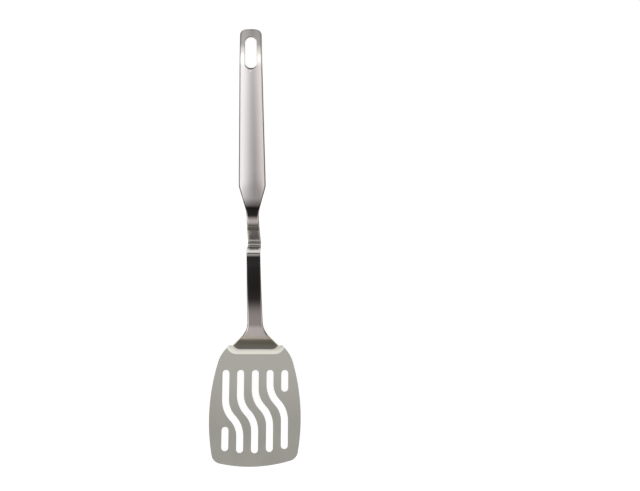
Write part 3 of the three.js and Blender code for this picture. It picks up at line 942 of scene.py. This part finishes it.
def metal(name):
    """A bare metal material: its graph, and its surface's sockets."""
    material = bpy.data.materials.new(name)
    material.use_nodes = True
    material.node_tree.nodes.clear()
    graph = Graph(material.node_tree)
    surface = graph.node("ShaderNodeBsdfPrincipled", inputs={"Metallic": 1.0})
    graph.node("ShaderNodeOutputMaterial", inputs={"Surface": surface.out()})
    return material, graph, surface.node.inputs


def surface_run(graph, uv_map):
    """Millimetres across and along a piece, from its UV map."""
    place = graph.node("ShaderNodeUVMap", {"uv_map": uv_map}).out()
    split = graph.node("ShaderNodeSeparateXYZ", inputs={0: place})
    return split.out("X") / UV_MM, split.out("Y") / UV_MM


# Finish of the bar: its noise is in patches to a millimetre, across and along
BAR_COLOURS = ((0.73, 0.715, 0.70, 1), (0.77, 0.755, 0.74, 1))
# The foot's yellowish colour is a painted reflection of the blade
BAR_FOOT_REFLECTION_TINT = (0.74, 0.73, 0.60, 1)
# Colour of the painted shade on the front of the bar
BAR_PAINTED_SHADE_COLOUR = (0.28, 0.275, 0.265, 1)
# Painted shadow on the low wall of the hanging slot
SLOT_SHADOW_COLOUR = (0.08, 0.08, 0.08, 1)
BAR_LINES = (5.0, 0.04)
BAR_STREAKS = (0.5, 0.012)
BAR_ROUGHNESS = 0.07
LINES_ROUGHNESS = 0.03
GRIP_ROUGHNESS = 0.1
STREAKS_ROUGHNESS = 0.05
FOOT_ROUGHNESS = 0.2
RAMP_ROUGHNESS = 0.2

# Where along the bar its finish changes, from one place to the other
GRIP_FINISH_END = (drop_start - 4, drop_start + 6)
FOOT_FINISH_START = (fold_start - FOOT_FLAT - 6, fold_start - FOOT_FLAT + 1)
# Painted shade on the front of the handle end: where it fades out, and its share
TIP_SHADE_END = (10, 15.5)
TIP_SHADE = 0.65  # share of the painted shade colour at the handle end
# Where the painted shadow in the hanging slot's low end lies
SLOT_LOW_END = (slot_last + 1, slot_last + 2.5)
SLOT_WALL_REACH = (slot_outer - 0.25, slot_outer - 0.03)  # from the centre of the slot's low end

# Bands along the bar: where each starts, is full, stops being full and ends
SOFTER_BAND = (ramp_start - 9, ramp_start - 3, step_start - 12.2, step_start - 10.6)
# Bands of painted shade on the bar's front: in the drop, the hook's hollow, round the shoulder and on the
# foot by the lip
PAINTED_SHADE_BANDS = (
    (drop_start - 6, drop_start + 1, drop_start + 2, drop_start + 5),
    (ramp_start - 5.5, ramp_start - 4.5, ramp_start - 2, ramp_start - 1),
    (step_start - 6.4, step_start - 5.6, step_start - 3.4, step_start - 2.9),
    (step_start - 1.9, step_start - 1.2, step_start + 2.5, step_start + 3.5),
    (step_end - 1.2, step_end - 0.2, step_end + 1.6, step_end + 2.6),
    (shoulder_end - 2.6, shoulder_end - 1.6, shoulder_end, shoulder_end + 9),
    (fold_start - 4.5, fold_start, foot_end, foot_end + 1),
)


def bar_polish():
    """Bright drawn steel with fine lengthwise lines, softer on the grip than on the neck.

    Bands of its front, and the front of its handle end, are darker with painted shade.
    """
    material, graph, surface = metal("bar_polish")
    across, along = surface_run(graph, "bar_run")
    lines = graph.patches(across, along, BAR_LINES)
    streaks = graph.patches(across, along, BAR_STREAKS)
    on_grip = along.ramp(*GRIP_FINISH_END, 1.0, 0.0)
    on_foot = along.ramp(*FOOT_FINISH_START)
    on_ramp = along.band(*SOFTER_BAND)
    grip_roughness = on_grip * (GRIP_ROUGHNESS + STREAKS_ROUGHNESS * streaks)
    roughness = BAR_ROUGHNESS + LINES_ROUGHNESS * lines + grip_roughness
    roughness = roughness + FOOT_ROUGHNESS * on_foot + RAMP_ROUGHNESS * on_ramp

    steel = graph.mix(streaks, *BAR_COLOURS)
    # Painted reflection of the blade on the foot
    unshaded = graph.mix(on_foot, steel, BAR_FOOT_REFLECTION_TINT)
    front = graph.node("ShaderNodeAttribute", {"attribute_name": "front_side"}).out("Fac")
    # Painted shade on the front: darker bands and a darker handle end
    painted_shade = sum(along.band(*each) for each in PAINTED_SHADE_BANDS) + along.ramp(*TIP_SHADE_END, TIP_SHADE, 0.0)
    with_painted_shade = graph.mix(front * painted_shade, unshaded, BAR_PAINTED_SHADE_COLOUR)
    # Painted shadow on the low wall of the hanging slot
    from_slot_end = ((along - slot_last) ** 2 + across ** 2).root()
    slot_shadow = from_slot_end.ramp(*SLOT_WALL_REACH, 1.0, 0.0) * along.ramp(*SLOT_LOW_END)
    graph.join(surface["Base Color"], graph.mix(slot_shadow, with_painted_shade, SLOT_SHADOW_COLOUR))
    graph.join(surface["Roughness"], roughness)
    return material


# Finish of the blade, likewise
SHEET_COLOURS = ((0.43, 0.43, 0.395, 1), (0.51, 0.505, 0.47, 1))
SHEET_ROOT_COLOUR = (0.57, 0.57, 0.53, 1)
# The lip's pale colour is a painted highlight on the fold
LIP_HIGHLIGHT_COLOUR = (0.95, 0.95, 0.87, 1)
SHEET_GRAIN = (3.2, 2.2)
SHEET_MOTTLE = (0.05, 0.04)
SHEET_ROUGHNESS = 0.36
GRAIN_ROUGHNESS = 0.1
MOTTLE_ROUGHNESS = 0.05
LIP_ROUGHNESS = 0.08
SHEET_LIGHTENING = (-62, -4)  # along the sheet, towards its root
LIP_FINISH_START = (1.2, 1.9)  # beyond the line of the fold


def satin_sheet():
    """Satin sheet with a fine even grain, lighter towards its root, and a painted highlight on its turned-up
    lip.
    """
    material, graph, surface = metal("satin_sheet")
    across, along = surface_run(graph, "blade_run")
    grain = graph.patches(across, along, SHEET_GRAIN, detail=3.0, roughness=0.65)
    mottle = graph.patches(across, along, SHEET_MOTTLE)
    beyond = (across.absolute() - FOLD_LINE_HALF).at_least(0).at_most(FOLD_LINE_RADIUS)
    line_rise = FOLD_LINE_RADIUS - (FOLD_LINE_RADIUS ** 2 - beyond * beyond).root()
    on_lip = (along - line_rise).ramp(*LIP_FINISH_START)
    sheet_colour = graph.mix(mottle, *SHEET_COLOURS)
    lighter = graph.mix(along.ramp(*SHEET_LIGHTENING), sheet_colour, SHEET_ROOT_COLOUR)
    roughness = SHEET_ROUGHNESS + GRAIN_ROUGHNESS * grain + MOTTLE_ROUGHNESS * mottle + LIP_ROUGHNESS * on_lip
    bumps = graph.node("ShaderNodeBump", inputs={"Strength": 0.15, "Distance": 0.00003, "Height": grain})
    # Painted highlight on the turned-up lip
    graph.join(surface["Base Color"], graph.mix(on_lip, lighter, LIP_HIGHLIGHT_COLOUR))
    graph.join(surface["Roughness"], roughness)
    graph.join(surface["Normal"], bumps.out())
    return material


# Finish of the welds, with its noise in patches to a metre
STRAW_TINT = (0.50, 0.42, 0.31, 1)
BLUE_TINT = (0.40, 0.42, 0.46, 1)
TINT_SPREAD = (0.35, 0.65)
WELD_TINT = 420.0
WELD_GRAIN = 2600.0
WELD_ROUGHNESS = 0.34
WELD_GRAIN_ROUGHNESS = 0.22


def weld_metal():
    """Dull weld metal with a straw and blue heat tint."""
    material, graph, surface = metal("weld_metal")
    place = graph.node("ShaderNodeTexCoord").out("Object")
    grain = graph.noise(place, WELD_GRAIN, detail=3.0, roughness=0.6)
    tint = graph.noise(place, WELD_TINT, detail=1.0)
    bumps = graph.node("ShaderNodeBump", inputs={"Strength": 0.3, "Distance": 0.00004, "Height": grain})
    graph.join(surface["Base Color"], graph.mix(tint.ramp(*TINT_SPREAD), STRAW_TINT, BLUE_TINT))
    graph.join(surface["Roughness"], WELD_ROUGHNESS + WELD_GRAIN_ROUGHNESS * grain)
    graph.join(surface["Normal"], bumps.out())
    return material


# Stage, light and camera

FLOOR_HALF = 5.0  # in metres
PAPER_COLOURS = ((0.33, 0.33, 0.33, 1), (0.36, 0.36, 0.355, 1))
PAPER_GLOW = 0.86
PAPER_MOTTLE = 3.0  # patches to a metre

# Studio brightness by the angle from straight up towards the handle end
SKY_BY_TILT = (
    (-180, 0.32), (-125, 0.3), (-105, 0.35), (-97, 0.45), (-84, 0.4), (-77, 0.22), (-69, 0.2), (-65, 0.55),
    (-60, 0.86), (-54, 0.95), (-48, 0.74), (-43, 0.4), (-40, 0.19), (-37, 0.05), (-30, 0.034), (-17, 0.036),
    (-14.5, 0.16), (-11.5, 0.64), (-8.5, 0.84), (-3, 0.69), (2, 0.7), (6, 1.08), (10, 1.65), (15, 1.5),
    (19, 1.3), (23, 0.65), (27, 0.3), (41, 0.34), (46, 0.85), (65, 1.1), (100, 0.9), (180, 0.32),
)
# Tint of the same, from the floor's side over the blade's side to the handle's side
TINT_BY_TILT = (
    (-180, (1, 0.97, 0.84)), (-70, (1, 0.97, 0.82)), (-60, (1, 0.92, 0.9)), (-30, (1, 0.9, 0.9)),
    (-6, (1, 0.965, 0.975)), (4, (1, 0.985, 0.99)), (30, (1, 1, 0.98)), (180, (1, 0.98, 0.96)),
)
# A factor of the same, by the angle from straight up towards the right
SKY_BY_SIDE = (
    (-90, 0.2), (-62, 0.4), (-45, 1.1), (-35, 1.75), (-25, 1.85), (-17, 1.45), (-10, 0.95), (-4, 0.62),
    (1, 0.45), (6, 0.5), (11, 0.8), (17, 1.2), (25, 1.4), (33, 1.2), (43, 0.7), (60, 0.35), (90, 0.2),
)
# Over these tilts towards the handle end, that factor evens out by this share
EVENING_TILTS = (-3, 6)
EVENING_SHARE = 0.65
# Over these angles towards the right, the light gets this warmer tint
WARM_SIDES = (-3.6, 10.8)
WARM_TINT = (1.0, 0.96, 0.945)


def pale_paper():
    """Pale studio paper, a little mottled, with a glow of its own that keeps it white."""
    material = bpy.data.materials.new("pale_paper")
    material.use_nodes = True
    graph = Graph(material.node_tree)
    material.node_tree.nodes.clear()
    place = graph.node("ShaderNodeTexCoord").out("Object")
    colour = graph.mix(graph.noise(place, PAPER_MOTTLE), *PAPER_COLOURS)
    glow = {"Emission Color": (1, 1, 1, 1), "Emission Strength": PAPER_GLOW}
    look = {"Base Color": colour, "Roughness": 0.8, **glow}
    surface = graph.node("ShaderNodeBsdfPrincipled", inputs=look)
    graph.node("ShaderNodeOutputMaterial", inputs={"Surface": surface.out()})
    return material


def floor(paper):
    half = FLOOR_HALF
    corners = [(-half, -half, 0), (half, -half, 0), (half, half, 0), (-half, half, 0)]
    mesh = bpy.data.meshes.new("floor")
    mesh.from_pydata(corners, [], [(0, 1, 2, 3)])
    mesh.materials.append(paper)
    piece = new_piece("floor", mesh)
    piece.visible_glossy = False


def backdrop(paper):
    """A pale dome over the floor, seen from low down. It takes no part in the lighting."""
    dome = bmesh.new()
    bmesh.ops.create_uvsphere(dome, u_segments=64, v_segments=32, radius=FLOOR_HALF)
    below = [vert for vert in dome.verts if vert.co.z < -MERGE_DISTANCE * MM]
    bmesh.ops.delete(dome, geom=below, context="VERTS")
    mesh = bpy.data.meshes.new("backdrop")
    dome.to_mesh(mesh)
    dome.free()
    mesh.shade_smooth()
    mesh.materials.append(paper)
    piece = new_piece("backdrop", mesh)
    piece.visible_glossy = False
    piece.visible_diffuse = False
    piece.visible_shadow = False


def of_a_turn(angle):
    """An angle as a share of a full turn, with straight up at one half."""
    return 0.5 + angle / 360


def studio():
    """Soft studio surroundings: bright overhead, with a dark gap above the blade's side."""
    world = bpy.data.worlds.new("studio")
    bpy.context.scene.world = world
    world.use_nodes = True
    world.node_tree.nodes.clear()
    graph = Graph(world.node_tree)
    split = graph.node("ShaderNodeSeparateXYZ", inputs={0: graph.node("ShaderNodeTexCoord").out("Generated")})
    x, y, z = (split.out(axis) for axis in "XYZ")
    tilt = y.maths("ARCTAN2", y, z) / math.tau + 0.5
    side = x.maths("ARCSINE", x) / math.tau + 0.5

    def by_angle(value, stops):
        settings = {"stops": [(of_a_turn(angle), (*colour, 1)) for angle, colour in stops]}
        return graph.node("ShaderNodeValToRGB", settings, {0: value}).out()

    def grey(stops):
        return [(angle, (light, light, light)) for angle, light in stops]

    evening = tilt.ramp(*map(of_a_turn, EVENING_TILTS), 0.0, EVENING_SHARE)
    across = graph.mix(evening, by_angle(side, grey(SKY_BY_SIDE)), (1, 1, 1, 1))
    light = graph.mix(1.0, by_angle(tilt, grey(SKY_BY_TILT)), across, "MULTIPLY")
    warm = graph.mix(side.ramp(*map(of_a_turn, WARM_SIDES)), (1, 1, 1, 1), (*WARM_TINT, 1))
    tint = graph.mix(1.0, by_angle(tilt, TINT_BY_TILT), warm, "MULTIPLY")
    glow = graph.mix(1.0, light, tint, "MULTIPLY")
    background = graph.node("ShaderNodeBackground", inputs={"Color": glow, "Strength": 1.0})
    graph.node("ShaderNodeOutputWorld", inputs={"Surface": background.out()})
    bpy.context.scene.view_settings.view_transform = "Standard"


# The camera looks down at the front of the turner, which lies left of the middle of the picture
CAMERA_TARGET = (50.7, 2.538, 15)
CAMERA_TILT = 18
CAMERA_DISTANCE = 900
CAMERA_ROLL = 0.06
CAMERA_LENS = 66.47
CAMERA_SENSOR = 36
CAMERA_CLIP = (0.01, 50)  # in metres


def camera():
    data = bpy.data.cameras.new("camera")
    data.lens = CAMERA_LENS
    data.sensor_width = CAMERA_SENSOR
    data.sensor_fit = "HORIZONTAL"
    data.clip_start, data.clip_end = CAMERA_CLIP
    shown = bpy.data.objects.new("camera", data)
    bpy.context.scene.collection.objects.link(shown)
    tilt = Matrix.Rotation(-math.radians(CAMERA_TILT), 4, "X")
    roll = Matrix.Rotation(math.radians(CAMERA_ROLL), 4, "Z")
    target = Matrix.Translation(Vector(CAMERA_TARGET) * MM)
    shown.matrix_world = target @ tilt @ roll @ Matrix.Translation(Vector((0, 0, CAMERA_DISTANCE * MM)))
    bpy.context.scene.camera = shown


camera()
studio()
paper = pale_paper()
floor(paper)
backdrop(paper)

bar = forged_bar(bar_polish())
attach(bar, "root")
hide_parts("handle_bar")

blade = pressed_blade(satin_sheet())
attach(blade, "root")
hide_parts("blade")

weld_finish = weld_metal()
marks = weld_marks(weld_finish)
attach(marks, "root")
for name in ("spot_weld_left", "spot_weld_middle", "spot_weld_right"):
    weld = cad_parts[name].data
    weld.materials.clear()
    weld.materials.append(weld_finish)
